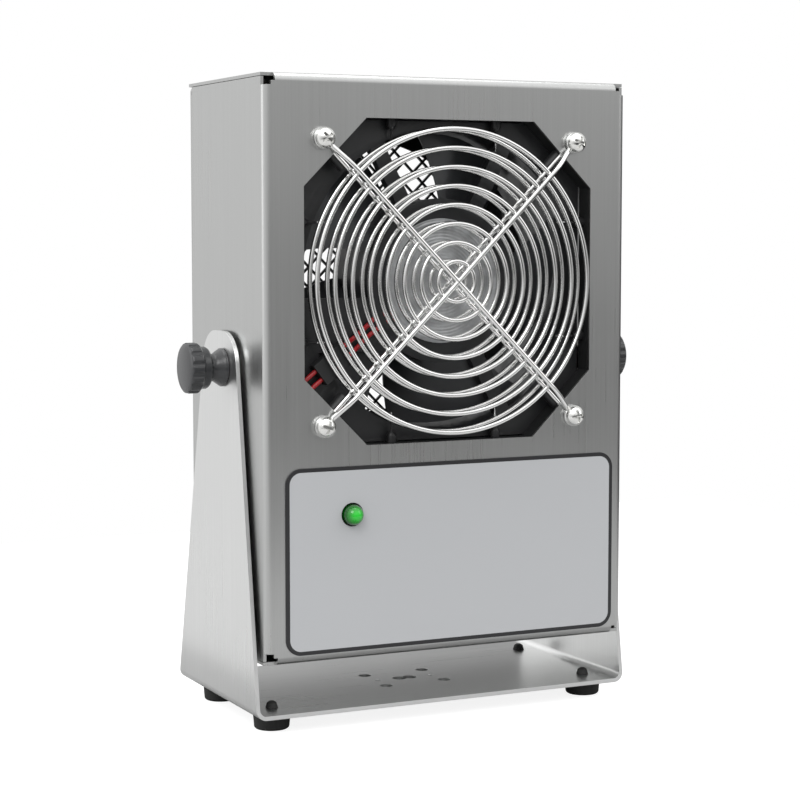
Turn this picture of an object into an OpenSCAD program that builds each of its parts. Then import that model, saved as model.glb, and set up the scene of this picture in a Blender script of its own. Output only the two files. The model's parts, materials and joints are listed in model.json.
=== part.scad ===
// Ionizing bench blower on a tilting U stand. Millimetres, +Z up, front face towards -Y.
// The origin is on the surface that the feet stand on, under the middle of the whole blower.

/* [Case] */
// Width of the case across its side walls
case_w = 151; // [144:1:165]
// Height of the case
case_h = 215; // [205:1:235]
// Depth of the case from its front face to the outside of the rear cover
case_d = 78; // [74:1:95]
// Thickness of the stainless sheet of the case
sheet = 1.2; // [1:0.1:1.5]
// Outside radius of the folds of the case
bend_r = 3; // [2:0.5:4]
// Height of the top of the case above the fan centre
fan_drop = 75.5; // [72:0.5:80]
// Length of the bend relief beside each corner of the front
relief = 1.5; // [1:0.5:3]
// Width of the lips that the rear cover is screwed to
lip_w = 12; // [10:0.5:12]

/* [Air opening] */
// Width of the eight-sided opening beyond the fan frame
opening_extra = 0.5; // [-2:0.25:1]
// Length that each corner of the opening is cut back along a side
opening_cut = 25; // [24:0.5:30]
// Distance of the four screws of guard, duct and fan from the edges of the fan frame
screw_edge = 7.35; // [7:0.05:7.8]

/* [Guard and grid] */
// Number of wire rings
rings = 8; // [5:1:8]
// Distance of the outermost ring inside the air bore, at the middle of the wire
ring_inset = 0.5; // [0:0.25:3]
// Distance from ring to ring
ring_pitch = 7; // [6:0.25:7]
// Wire diameter of the rings
ring_wire = 1.8; // [1.4:0.1:2]
// Wire diameter of the crossed spokes
spoke_wire = 2; // [1.6:0.1:2.2]
// Height of the guard rings in front of the case
guard_proud = 3.8; // [3:0.1:6]
// Depth of the sensor grid rings behind the front face of the case
grid_depth = 3.2; // [3:0.1:3.6]

/* [Fan] */
// Width and height of the fan frame
fan_size = 119.5; // [118:0.5:120]
// Depth of the fan frame
fan_d = 38; // [36:1:42]
// Thickness of the fan frame beside its air bore
bore_edge = 2.75; // [2.25:0.25:3.75]
// Distance from the front face of the case to the fan
fan_set = 9; // [8.5:0.5:11]
// Number of impeller blades
blades = 5; // [3:1:7]
// Running gap between the blade tips and the bore
tip_gap = 1.4; // [1:0.1:2]
// Outside diameter of the motor's rotor cup
rotor_dia = 57; // [54:0.5:60]
// Diameter of the fan shaft
fan_shaft = 5; // [4:0.5:6]

/* [Stand] */
// Thickness of the stainless sheet of the stand
stand_sheet = 1.5; // [1.2:0.1:2]
// Outside radius of the folds of the stand
stand_bend = 4; // [3:0.5:5]
// Gap between the case and each arm, filled by a washer
side_gap = 1.3; // [1:0.1:2]
// Setback of the base behind the front face of the case
base_setback = 2.5; // [0:0.5:8]
// Depth of the base from front to back
base_d = 83.5; // [78:0.5:95]
// Free height between the base plate and the case
case_lift = 19; // [15:0.5:30]
// Distance of the tilt axis behind the front face of the case
pivot_back = 35; // [32:0.5:40]
// Distance of the tilt axis below the fan centre
pivot_drop = 32; // [26:0.5:34]
// Radius of the rounded top of each arm
arm_r = 13.5; // [11:0.5:14]
// Length of the flat on top of each arm
arm_flat = 8; // [2:0.5:12]

/* [Base holes] */
// Sideways spacing of the four fixing holes
fix_x = 25.4; // [20:0.2:40]
// Front to back spacing of the four fixing holes
fix_y = 20; // [16:0.5:30]
// Diameter of the four fixing holes
fix_dia = 5; // [4:0.1:6]
// Distance of the hole pattern behind the front face of the case
fix_back = 40.6; // [36:0.2:46]

/* [Feet] */
// Diameter of a rubber foot
foot_dia = 14; // [10:0.5:18]
// Height of a rubber foot
foot_h = 6; // [4:0.5:10]
// Distance of each row of feet from the middle of the base, sideways
foot_x = 67.2; // [55:0.2:68]
// Setback of the front feet behind the front face of the case
foot_front = 15.6; // [12:0.2:20]
// Front to back spacing of the feet
foot_y = 52.6; // [45:0.2:58]

/* [Tilt knobs] */
// Diameter of the fluted grip
knob_dia = 19; // [17:0.5:24]
// Distance that a knob stands out from its arm
knob_reach = 16; // [15:0.5:20]
// Number of flutes round the grip
flutes = 14; // [8:1:18]
// Diameter of the threaded stud
stud_dia = 5; // [4:0.5:6]

/* [Label and light] */
// Width of the front label
label_w = 138.4; // [120:0.2:140]
// Height of the front label
label_h = 69; // [60:0.5:70]
// Corner radius of the front label
label_r = 6; // [3:0.5:10]
// Thickness of the front label
label_t = 0.5; // [0.3:0.1:1]
// Distance of the label's middle below the fan centre
label_drop = 101.9; // [98:0.1:103]
// Sideways shift of the label's middle
label_x = 1.4; // [-2:0.1:2]
// Diameter of the status light
led_dia = 7.6; // [5:0.1:9]
// Sideways place of the status light, left of the middle
led_x = 41.2; // [30:0.2:55]
// Distance of the status light below the fan centre
led_drop = 85.4; // [82:0.2:100]

/* [Rear controls] */
// Distance of the row of controls below the fan centre
control_drop = 101; // [98:0.5:106]
// Diameter of the speed knob
speed_dia = 15; // [12:0.5:18]
// Length of the speed knob
speed_len = 12; // [10:0.5:14]

/* [Hidden] */
$fn = 64;

// clearances
fit = 0.05;
slack = 0.2;
seat = 0.1;
// levels in the case, measured from the front face and the fan centre
case_top = fan_drop;
case_bottom = fan_drop - case_h;
cover_t = sheet;
inner_back = case_d - cover_t;
cover_inset = 1;
lip_x = case_w / 2 - lip_w / 2 - 1;
cover_screw_z = [case_top - 14, (case_top + case_bottom) / 2, case_bottom + 14];
// front label and status light
led_r = led_dia / 2;
led_hole_r = led_r + 0.6;
led_rise = 1.4;
led_len = 7;
// heights above the ground
base_z = foot_h;
fan_z = base_z + stand_sheet + case_lift + case_h - fan_drop;
// sizes that follow the fan
fan_bore = fan_size - 2 * bore_edge;
opening = fan_size + opening_extra;
screw_pitch = fan_size - 2 * screw_edge;
ring_r = fan_bore / 2 - ring_inset;
// screws that hold guard, duct and fan
screw_r = 2;
screw_hole_r = screw_r + slack;
head_r = 4;
head_h = 3.2;
nut_r = 3.9;
nut_h = 3.2;
flange_t = 5;
corner = screw_pitch / 2;
corner_r = corner * sqrt(2);
// small screws
small_r = 1.5;
small_head_r = 2.8;
small_head_h = 2;
// guard
spoke_y = -guard_proud - (ring_wire + spoke_wire) / 2 + 0.4;
grid_spoke_y = grid_depth - (ring_wire + spoke_wire) / 2 + 0.4;
arm_bend_r = ring_r + 4;
bend_swell = 0.05;
guard_angles = [45, 135, 225, 315];
hook_short = 0.9;
eye_r = screw_r + spoke_wire / 2 + seat;
eye_y = -spoke_wire / 2 - seat;
guard_front = -spoke_y + spoke_wire / 2 + bend_swell;
// duct, grid posts and emitters
duct_gap = 0.4;
duct_half = fan_size / 2 + 3;
duct_r = 6;
wall_cut = (opening + duct_gap - opening_cut) / sqrt(2);
grid_reach = ring_r + 6;
post_r = 2.6;
post_y = sheet + post_r + seat;
post_len = wall_cut - grid_reach + 2.5;
emitter_off = 22;
emitter_y = 6.6;
socket_r = 2;
needle_r = 0.45;
// fan frame
frame_r = 7;
bore_wall = 2;
strut_t = 4;
strut_w = 6;
strut_angles = [62, 118, 298];
wide_strut_w = 20;
wide_strut_drop = 16;
// motor
motor_plate_r = rotor_dia / 2 + 2.5;
motor_plate_t = 3.5;
motor_label_r = 23.5;
motor_label_t = 0.4;
tube_r = 7;
bearing_r = 5;
bearing_len = 4;
stator_slot_at = rotor_dia * 0.3;
rotor_y = fan_set + motor_plate_t + 1.5;
rotor_len = 25;
rotor_wall = 1.4;
hub_wall = 2.2;
hub_r = rotor_dia / 2 + hub_wall;
blade_tip_r = fan_bore / 2 - tip_gap;
// blades
sections = 6;
chord_points = 8;
blade_mid = rotor_y + rotor_len / 2;
blade_len = 24;
blade_half_angle = 26;
blade_lag = 10;
blade_taper = 0.28;
blade_camber = 3.5;
blade_first = 12;
ring_n = 2 * chord_points + 2;
// terminal clip and leads: two holes that each lead passes through
lead_r = 0.9;
lead_off = 2;
lead_sides = 10;
lead_rings = 14;
terminal_t = fan_set - grid_depth - ring_wire / 2 - 0.5;
terminal_w = 14;
terminal_h = 9;
terminal_r = fan_bore / 2 - 2.1;
terminal_angle = 33;
terminal_at = [-terminal_r * cos(terminal_angle), fan_set - terminal_t / 2,
  -terminal_r * sin(terminal_angle)];
terminal_turn = -38;
lead_out = wall_cut - terminal_r + 0.4;
lead_in = terminal_r - motor_plate_r;
// stand
stand_in = case_w / 2 + side_gap;
stand_out = stand_in + stand_sheet;
pivot_z = fan_z - pivot_drop;
washer_r = 7;
foot_stem_r = 1.9;
foot_stem_h = 2.6;
// knob grip
step_r = knob_dia / 2 - 1.6;
neck_r = 5;
flange_r = 7.2;
grip_h = 4.6;
dome_h = 1.2;
stud_r = stud_dia / 2;
stud_hole_r = stud_r + 0.08;
insert_len = 4;
insert_r = stud_r + 2.5;
stud_in = 9;
// rear controls
control_z = -control_drop;
lip_free = case_w / 2 - lip_w;
inlet_w = 27;
inlet_h = 19.5;
inlet_pitch = 40;
inlet_flange_t = 2;
inlet_ear = 9;
inlet_deep = 18;
inlet_pin_x = 7;
socket_w = 23.6;
socket_h = 15.8;
socket_cut = 4.5;
switch_w = 13;
switch_h = 19;
switch_rim = 1.2;
switch_deep = 16;
rocker_w = switch_w - 3.4;
rocker_h = switch_h - 4.2;
pivot_in = case_d - 1.5;
pin_r = 1;
speed_shaft_r = 3;
speed_gap = 0.8;
speed_body_r = 8;
bushing_r = 3.6;
bushing_out = 5;
panel_nut_r = 6;
jack_r = 3.9;
jack_flange_r = 5.6;
jack_bore_r = 2.05;
// the four controls stand in a row between the lips, with equal gaps
inlet_half = (inlet_pitch + inlet_ear) / 2;
switch_half = switch_w / 2 + 1.5;
control_gap = 2 * (lip_free - inlet_half - switch_half - speed_body_r - panel_nut_r) / 5;
inlet_x = -lip_free + control_gap + inlet_half;
switch_x = inlet_x + inlet_half + control_gap + switch_half;
speed_x = switch_x + switch_half + control_gap + speed_body_r;
ground_x = speed_x + speed_body_r + control_gap + panel_nut_r;
// whole reach of the blower, front to back, which puts the origin in its middle
rear_reach = case_d + bushing_out + speed_gap + speed_len;
panel_y = (guard_front - rear_reach) / 2;
// circuit board
board_w = 124;
board_d = 56;
board_t = 1.6;
board_y = 9;
pillar_h = 8;
board_z = case_bottom + sheet + pillar_h;
board_hole_x = board_w / 2 - 5;
board_hole_y = board_d / 2 - 5;
capacitor_r = 5;
capacitor_h = 16;
capacitors_at = [[board_w / 2 - 40, -12], [board_w / 2 - 26, -12]];
resistor_size = [5, 4, 8];
resistors_at = [for (i = [0 : 2]) [32 - board_w / 2 + 8 * i, board_d / 2 - 8]];
relay_size = [9, 18, 12];
relay_at = [board_w / 2 - 17, -18];
chip_size = [14, 10, 6];
chip_at = [board_w / 2 - 50, 4];
connector_size = [18, 12, 9];
connector_at = [6 - board_w / 2, 6];
heat_sink_size = [26, 4, 14];
heat_sink_at = [board_w / 2 - 45, 4 - board_d / 2];
transformer_w = 26;
transformer_y = 4 - board_d / 2;
transformer_x = [8.5 - board_w / 2, 11 + transformer_w - board_w / 2];
transformer_h = 22;
case_wall = 2;
// rear mesh
mesh_rim_r = lip_free - 2;
mesh_screw_r = mesh_rim_r - 3.3;
mesh_open_r = mesh_rim_r - 6.5;
mesh_t = 1;
mesh_pitch = 6;
mesh_bar = 0.9;
mesh_angles = [45 : 90 : 315];

// ---------------------------------------------------------------- helpers
// the case frame: X to the right, Y from the front face backwards, Z from the fan centre
module in_case() translate([0, panel_y, fan_z]) children();
// a cylinder along +Y, from y0 to y1
module rod_y(r, y0, y1) translate([0, y0, 0]) rotate([-90, 0, 0]) cylinder(r = r, h = y1 - y0);
// a cylinder along +X, from x0 to x1
module rod_x(r, x0, x1) translate([x0, 0, 0]) rotate([0, 90, 0]) cylinder(r = r, h = x1 - x0);
// a flat shape in the XZ plane, thickened along +Y from y0 to y1
module slab_y(y0, y1) translate([0, y1, 0]) rotate([90, 0, 0]) linear_extrude(y1 - y0) children();
// the four screws round the rear mesh
module at_mesh_screws() for (a = mesh_angles) rotate([0, a, 0])
  translate([mesh_screw_r, 0, 0]) children();
// the four corners of a rectangle in the XZ plane
module four(x, z) for (sx = [-1, 1], sz = [-1, 1]) translate([sx * x, 0, sz * z]) children();
// a straight wire between two points
module wire(a, b, d) {
  v = b - a;
  length = norm(v);
  turn = atan2(v.y, v.x);
  tip = acos(v.z / length);
  translate(a) rotate([0, tip, turn]) cylinder(r = d / 2, h = length);
}
// a ring of wire round the Y axis
module wire_ring(r, d, y) translate([0, y, 0]) rotate([90, 0, 0])
  rotate_extrude() translate([r, 0]) circle(r = d / 2, $fn = 24);
// a rectangle with round corners
module round_rect(w, h, r) union() {
  square([w - 2 * r, h], center = true);
  square([w, h - 2 * r], center = true);
  for (sx = [-1, 1], sy = [-1, 1]) translate([sx * (w / 2 - r), sy * (h / 2 - r)]) circle(r);
}
// a square with its corners cut off
module octagon(across, cut) {
  a = across / 2;
  b = a - cut;
  polygon([[-a, -b], [-b, -a], [b, -a], [a, -b], [a, b], [b, a], [-b, a], [-a, b]]);
}
// a quarter of a bent sheet along Z, in the corner towards -X and -Y
module fold(outer, thick, length) linear_extrude(length) intersection() {
  difference() {
    circle(outer);
    circle(outer - thick);
  }
  translate([-outer, -outer]) square(outer);
}
// a screw along +Y with a domed head; its head sits in front of y0
module dome_screw(r, head, high, y0, y1) {
  rod_y(r, y0 - high / 2, y1);
  translate([0, y0, 0]) rotate([90, 0, 0]) rotate_extrude() intersection() {
    translate([0, high - (head * head + high * high) / (2 * high)])
      circle((head * head + high * high) / (2 * high));
    square([head, high]);
  }
}
// a six-sided nut along +Y
module hex_nut(r, hole, y0, y1) slab_y(y0, y1) difference() {
  circle(r, $fn = 6);
  circle(hole);
}

// ---------------------------------------------------------------- stand
// outline of an arm in the YZ plane: straight edges up to a rounded top
module arm_outline() {
  top_z = pivot_z;
  front = panel_y + base_setback;
  back = front + base_d;
  c_front = panel_y + pivot_back;
  c_back = c_front + arm_flat;
  rise = top_z - base_z;
  lean_f = tangent_lean(c_front - front, rise);
  lean_b = tangent_lean(back - c_back, rise);
  polygon([[front, base_z], [back, base_z],
    [c_back + arm_r * cos(lean_b), top_z + arm_r * sin(lean_b)], [c_back, top_z + arm_r],
    [c_front, top_z + arm_r], [c_front - arm_r * cos(lean_f), top_z + arm_r * sin(lean_f)]]);
  for (y = [c_front, c_back]) translate([y, top_z]) circle(arm_r);
}
// angle of the edge that starts at a base corner and just touches the arm's round top
function tangent_lean(run, rise) = acos(arm_r / norm([run, rise])) - atan2(rise, run);

module stand_bracket() color("silver") difference() {
  intersection() {
    translate([0, panel_y + base_setback, 0]) union() {
      translate([-stand_out + stand_bend, 0, base_z])
        cube([2 * (stand_out - stand_bend), base_d, stand_sheet]);
      for (side = [0, 1]) mirror([side, 0, 0]) {
        translate([-stand_out + stand_bend, 0, base_z + stand_bend]) rotate([-90, 0, 0])
          mirror([0, 1, 0]) fold(stand_bend, stand_sheet, base_d);
        translate([-stand_out, 0, base_z + stand_bend])
          cube([stand_sheet, base_d, pivot_z + arm_r - base_z - stand_bend]);
      }
    }
    translate([-stand_out - 1, 0, 0]) rotate([90, 0, 90])
      linear_extrude(2 * stand_out + 2) arm_outline();
  }
  translate([0, panel_y + pivot_back, pivot_z]) rod_x(stud_hole_r, -stand_out - 1, stand_out + 1);
  for (x = [-foot_x, foot_x], y = [foot_front, foot_front + foot_y])
    translate([x, panel_y + y, base_z - 1]) cylinder(r = foot_stem_r + fit, h = stand_sheet + 2);
  translate([0, panel_y + fix_back, base_z - 1]) {
    for (x = [-1, 1], y = [-1, 1]) translate([x * fix_x / 2, y * fix_y / 2, 0])
      cylinder(r = fix_dia / 2, h = stand_sheet + 2);
    for (x = [-1, 1]) {
      translate([x * (fix_x / 2 - 1.2), 0, 0]) cylinder(r = 1.2, h = stand_sheet + 2);
      translate([x * 2.2, 0, 0]) cylinder(r = fix_dia / 2 + 0.3, h = stand_sheet + 2);
    }
  }
}

module feet() color("#202020")
  for (x = [-foot_x, foot_x], y = [foot_front, foot_front + foot_y])
    translate([x, panel_y + y, 0]) rotate_extrude() polygon([[0, 0], [foot_dia / 2 - 1, 0],
      [foot_dia / 2 - 0.4, 0.6], [foot_dia / 2, foot_h - 1], [foot_dia / 2, foot_h],
      [foot_stem_r, foot_h], [foot_stem_r, foot_h + stand_sheet],
      [foot_stem_r + 0.5, foot_h + stand_sheet], [foot_stem_r - 0.1, foot_h + stand_sheet + 2],
      [foot_stem_r - 1, foot_h + stand_sheet + foot_stem_h], [0, foot_h + stand_sheet + foot_stem_h]]);

// ---------------------------------------------------------------- case
// one side wall with its front fold, rear fold and lip, on the left
module case_side() {
  edge = bend_r + relief;
  long = case_h - 2 * edge;
  translate([-case_w / 2, bend_r, case_bottom + sheet + slack])
    cube([sheet, inner_back - 2 * bend_r, case_h - 2 * (sheet + slack)]);
  translate([-case_w / 2 + bend_r, bend_r, case_bottom + edge]) fold(bend_r, sheet, long);
  translate([-case_w / 2 + bend_r, inner_back - bend_r, case_bottom + edge])
    mirror([0, 1, 0]) fold(bend_r, sheet, long);
  translate([-case_w / 2 + bend_r, inner_back - sheet, case_bottom + edge])
    cube([lip_w - bend_r, sheet, long]);
}
// the top wall with its front fold
module case_end() {
  edge = bend_r + relief;
  translate([-case_w / 2, bend_r, case_top - sheet])
    cube([case_w, inner_back - bend_r, sheet]);
  translate([-case_w / 2 + edge, bend_r, case_top - bend_r]) rotate([0, 90, 0])
    fold(bend_r, sheet, case_w - 2 * edge);
}

module front_case() color("#a8aaa9") in_case() difference() {
  union() {
    translate([-case_w / 2 + bend_r, 0, case_bottom + bend_r])
      cube([case_w - 2 * bend_r, sheet, case_h - 2 * bend_r]);
    case_side();
    mirror([1, 0, 0]) case_side();
    case_end();
    translate([0, 0, case_top + case_bottom]) mirror([0, 0, 1]) case_end();
  }
  slab_y(-1, sheet + 1) octagon(opening, opening_cut);
  four(corner, corner) rod_y(screw_hole_r, -1, sheet + 1);
  translate([-led_x, 0, -led_drop]) rod_y(led_hole_r, -1, sheet + 1);
  translate([0, pivot_back, -pivot_drop]) rod_x(stud_hole_r, -case_w, case_w);
  for (x = [-lip_x, lip_x], z = cover_screw_z)
    translate([x, 0, z]) rod_y(small_r + fit, inner_back - sheet - 1, inner_back + 1);
}

module rear_cover() color("#9c9e9d") in_case() difference() {
  translate([0, 0, (case_top + case_bottom) / 2]) slab_y(inner_back, case_d)
    round_rect(case_w - 2 * cover_inset, case_h - 2 * cover_inset, 2);
  rod_y(mesh_open_r + 1, inner_back - 1, case_d + 1);
  for (x = [-lip_x, lip_x], z = cover_screw_z)
    translate([x, 0, z]) rod_y(small_r + fit, inner_back - 1, case_d + 1);
  at_mesh_screws() rod_y(small_r + fit, inner_back - 1, case_d + 1);
  translate([inlet_x, 0, control_z]) {
    slab_y(inner_back - 1, case_d + 1)
      square([inlet_w + slack, inlet_h + slack], center = true);
    for (s = [-1, 1]) translate([s * inlet_pitch / 2, 0, 0])
      rod_y(small_r + fit, inner_back - 1, case_d + 1);
  }
  translate([switch_x, 0, control_z]) slab_y(inner_back - 1, case_d + 1)
    square([switch_w + slack, switch_h + slack], center = true);
  translate([speed_x, 0, control_z]) rod_y(bushing_r + fit, inner_back - 1, case_d + 1);
  translate([ground_x, 0, control_z]) rod_y(jack_r + fit, inner_back - 1, case_d + 1);
}

// screws that enter from behind, with their heads on the cover
module back_screw(length) translate([0, case_d, 0]) mirror([0, 1, 0])
  dome_screw(small_r, small_head_r, small_head_h, 0, length);

module cover_screws() color("silver") in_case()
  for (x = [-lip_x, lip_x], z = cover_screw_z) translate([x, 0, z]) back_screw(7);

module front_label() color("#b8babc") in_case() difference() {
  translate([label_x, 0, -label_drop]) slab_y(-label_t, 0) round_rect(label_w, label_h, label_r);
  translate([-led_x, 0, -led_drop]) rod_y(led_hole_r, -label_t - 1, 1);
}

module status_led() color("limegreen") in_case() translate([-led_x, 0, -led_drop])
  rotate([90, 0, 0]) rotate_extrude() union() {
    translate([0, -led_len]) square([led_r, led_len + led_rise]);
    translate([0, -led_len]) square([led_r + 0.9, 1]);
    translate([0, led_rise]) intersection() {
      circle(led_r);
      square(led_dia);
    }
  }

module led_holder() color("#1c1c1c") in_case() translate([-led_x, 0, -led_drop])
  slab_y(sheet, sheet + 4) difference() {
    circle(led_r + 2.2);
    circle(led_r + fit);
  }

// ---------------------------------------------------------------- guard and grid
// concentric wire rings round the fan axis
module ring_set(y) for (i = [0 : rings - 1]) wire_ring(ring_r - i * ring_pitch, ring_wire, y);

// rings welded behind two crossed wires
module finger_guard() color("gainsboro") in_case() {
  ring_set(-guard_proud);
  for (turn = [45, 135]) rotate([0, turn, 0])
    wire([-arm_bend_r, spoke_y, 0], [arm_bend_r, spoke_y, 0], spoke_wire);
}
// the four bent ends of the crossed wires, each with the eye that its screw passes through
module guard_hooks() color("gainsboro") in_case() for (turn = guard_angles)
  rotate([0, turn, 0]) difference() {
    union() {
      translate([arm_bend_r, spoke_y, 0]) rotate([0, 90, 0])
        sphere(r = spoke_wire / 2 + bend_swell);
      wire([arm_bend_r, spoke_y, 0], [corner_r - eye_r - hook_short, eye_y, 0], spoke_wire);
      translate([corner_r, 0, 0]) wire_ring(eye_r, spoke_wire, eye_y);
    }
    translate([arm_bend_r - 2 * spoke_wire, spoke_y - spoke_wire, -spoke_wire])
      cube(2 * spoke_wire);
  }

module sensor_grid() color("gainsboro") in_case() {
  ring_set(grid_depth);
  for (turn = [45, 135]) rotate([0, turn, 0])
    wire([-grid_reach, grid_spoke_y, 0], [grid_reach, grid_spoke_y, 0], spoke_wire);
}

module guard_screws() color("whitesmoke") in_case() four(corner, corner)
  dome_screw(screw_r, head_r, head_h, eye_y - spoke_wire / 2 - fit, fan_set + flange_t + nut_h + 1);

module guard_nuts() color("silver") in_case() four(corner, corner)
  hex_nut(nut_r, screw_r + fit, fan_set + flange_t, fan_set + flange_t + nut_h);

// ---------------------------------------------------------------- ionizing duct
module air_duct() color("#1b1c1d") in_case() difference() {
  slab_y(sheet, fan_set) difference() {
    round_rect(2 * duct_half, 2 * duct_half, duct_r);
    octagon(opening + duct_gap, opening_cut);
  }
  four(corner, corner) rod_y(screw_hole_r, 0, fan_set + 1);
}

// insulating sleeves on the slanted walls that hold the ends of the grid's spokes
module grid_posts() color("#2a2b2c") in_case() for (a = [45 : 90 : 315]) rotate([0, a, 0])
  translate([0, post_y, 0]) difference() {
    rod_x(post_r, wall_cut - post_len, wall_cut);
    translate([0, grid_spoke_y - post_y, 0]) rod_x(spoke_wire / 2 + fit, 0, grid_reach + fit);
  }

// needles in sockets, two on each straight wall of the duct
module emitter() {
  wall = opening / 2 + duct_gap / 2;
  translate([wall, emitter_y, 0]) rotate([0, -90, 0]) rotate_extrude() polygon([[0, 0],
    [socket_r, 0], [socket_r, 2.5], [socket_r - 0.8, 4], [needle_r, 4], [needle_r, 9],
    [0.12, 11.5], [0, 11.5]]);
}
module emitter_points() color("#c8c8c8") in_case()
  for (a = [0 : 90 : 270], s = [-1, 1]) rotate([0, a, 0])
    translate([0, 0, s * emitter_off]) emitter();

// ---------------------------------------------------------------- fan
module fan_flange(y0) slab_y(y0, y0 + flange_t) difference() {
  round_rect(fan_size, fan_size, frame_r);
  circle(fan_bore / 2);
}
module fan_frame() color("#141516") in_case() difference() {
  union() {
    fan_flange(fan_set);
    fan_flange(fan_set + fan_d - flange_t);
    slab_y(fan_set, fan_set + fan_d) difference() {
      circle(fan_bore / 2 + bore_wall);
      circle(fan_bore / 2);
    }
    rod_y(motor_plate_r, fan_set, fan_set + motor_plate_t);
    rod_y(tube_r, fan_set, rotor_y + rotor_len - rotor_wall - 2);
    for (a = strut_angles) rotate([0, -a, 0])
      translate([motor_plate_r - 3, fan_set, -strut_w / 2])
        cube([fan_bore / 2 - motor_plate_r + 4, strut_t, strut_w]);
    translate([-fan_bore / 2 - 1, fan_set, -wide_strut_drop - wide_strut_w / 2])
      cube([fan_bore / 2 - motor_plate_r + 10, strut_t, wide_strut_w]);
  }
  four(corner, corner) rod_y(screw_hole_r, fan_set - 1, fan_set + fan_d + 1);
  rod_y(bearing_r + fit, fan_set + 2, fan_set + fan_d);
}

module motor_label() color("#a9abae") in_case() slab_y(fan_set - motor_label_t, fan_set)
  circle(motor_label_r);

module motor_stator() color("#8a5a35") in_case() slab_y(rotor_y + 2, rotor_y + rotor_len - 6)
  difference() {
    circle(rotor_dia / 2 - rotor_wall - 1);
    circle(tube_r + fit);
    for (a = [0 : 45 : 315]) rotate(a) translate([stator_slot_at, 0]) circle(3.2, $fn = 24);
  }

module fan_bearings() color("silver") in_case() for (y = [fan_set + 2.5, rotor_y + 16])
  slab_y(y, y + bearing_len) difference() {
    circle(bearing_r);
    circle(fan_shaft / 2 + fit);
  }

// steel cup that carries the magnet, with the shaft pressed into its closed end
module fan_rotor() color("#3a3c3e") in_case() translate([0, rotor_y + rotor_len, 0])
  rotate([90, 0, 0]) rotate_extrude() polygon([[0, 0], [rotor_dia / 2 - 1, 0],
    [rotor_dia / 2, 1], [rotor_dia / 2, rotor_len], [rotor_dia / 2 - rotor_wall, rotor_len],
    [rotor_dia / 2 - rotor_wall, rotor_wall], [fan_shaft / 2, rotor_wall],
    [fan_shaft / 2, rotor_len + 1.5 + motor_plate_t - 2.5], [0, rotor_len + motor_plate_t - 1]]);

// one blade: cambered sections from the hub to the tip, joined ring by ring
function blade_r(i) = hub_r - 1 + (blade_tip_r - hub_r + 1) * i / (sections - 1);
function blade_point(i, s, face) =
  let (r = blade_r(i), q = i / (sections - 1), t = 2 * s - 1,
    a = t * blade_half_angle + blade_lag * q,
    thick = 0.5 + 1.1 * (1 - t * t) * (1 - 0.4 * q),
    y = blade_mid - t * blade_len / 2 * (1 - blade_taper * q) - blade_camber * (1 - t * t)
      + face * thick)
  [r * cos(a), y, r * sin(a)];
function blade_ring(i) = concat(
  [for (k = [0 : chord_points]) blade_point(i, k / chord_points, 1)],
  [for (k = [chord_points : -1 : 0]) blade_point(i, k / chord_points, -1)]);
// an end of the blade: triangles between its two faces
function blade_cap(first, tip) = [for (k = [0 : chord_points - 1])
  let (a = first + k, b = a + 1, d = first + ring_n - 1 - k, c = d - 1)
    each (tip ? [[a, c, b], [a, d, c]] : [[a, b, c], [a, c, d]])];
module blade() polyhedron(
  points = [for (i = [0 : sections - 1]) each blade_ring(i)],
  faces = concat(blade_cap(0, false),
    [for (i = [0 : sections - 2], k = [0 : ring_n - 1]) let (n = (k + 1) % ring_n)
      each [[i * ring_n + n, i * ring_n + k, (i + 1) * ring_n + k],
        [i * ring_n + n, (i + 1) * ring_n + k, (i + 1) * ring_n + n]]],
    blade_cap((sections - 1) * ring_n, true)));

module fan_impeller() color("#242628") in_case() union() {
  slab_y(rotor_y + 0.5, rotor_y + rotor_len - 0.5) difference() {
    circle(hub_r);
    circle(rotor_dia / 2 + 0.02);
  }
  for (b = [0 : blades - 1]) rotate([0, b * 360 / blades + blade_first, 0]) blade();
}

// terminal clip on the fan, and the two leads from it to the motor
module at_terminal() in_case() translate(terminal_at) rotate([0, terminal_turn, 0]) children();
module fan_terminal() color("#303234") at_terminal() difference() {
  cube([terminal_w, terminal_t, terminal_h], center = true);
  for (z = [-lead_off, lead_off]) translate([0, 0, z])
    rod_x(lead_r + fit, -terminal_w, terminal_w);
}
// a tube that runs straight out of the clip and then follows a smooth curve to the motor
function bezier(p, t) = pow(1 - t, 3) * p[0] + 3 * t * pow(1 - t, 2) * p[1]
  + 3 * t * t * (1 - t) * p[2] + pow(t, 3) * p[3];
function lead_ring(p, t) =
  let (ahead = bezier(p, t + 0.01) - bezier(p, t - 0.01), x = ahead / norm(ahead),
    u = cross(x, [0, 1, 0]), side = u / norm(u), up = cross(x, side), c = bezier(p, t))
  [for (k = [0 : lead_sides - 1]) let (a = k * 360 / lead_sides)
    c + lead_r * (cos(a) * side + sin(a) * up)];
function straight_ring(p, x) = [for (q = lead_ring(p, 0)) [x, q[1], q[2]]];
module lead(start, p) polyhedron(
  points = concat(straight_ring(p, start), straight_ring(p, p[0][0]),
    [for (i = [1 : lead_rings]) each lead_ring(p, i / lead_rings)]),
  faces = concat([[for (k = [0 : lead_sides - 1]) k]],
    [for (i = [0 : lead_rings], k = [0 : lead_sides - 1])
      let (n = (k + 1) % lead_sides, a = i * lead_sides, b = a + lead_sides)
        each [[a + n, a + k, b + k], [a + n, b + k, b + n]]],
    [[for (k = [lead_sides - 1 : -1 : 0]) (lead_rings + 1) * lead_sides + k]]));
module fan_leads() color("#b01020") at_terminal() for (s = [-1, 1])
  lead(-lead_out, [[terminal_w / 2 + 0.5, 0, lead_off * s], [lead_in / 2, 0, lead_off * s],
    [lead_in * 0.7, 1, 1.2 * s], [lead_in, 1, lead_off * s]]);

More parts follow.
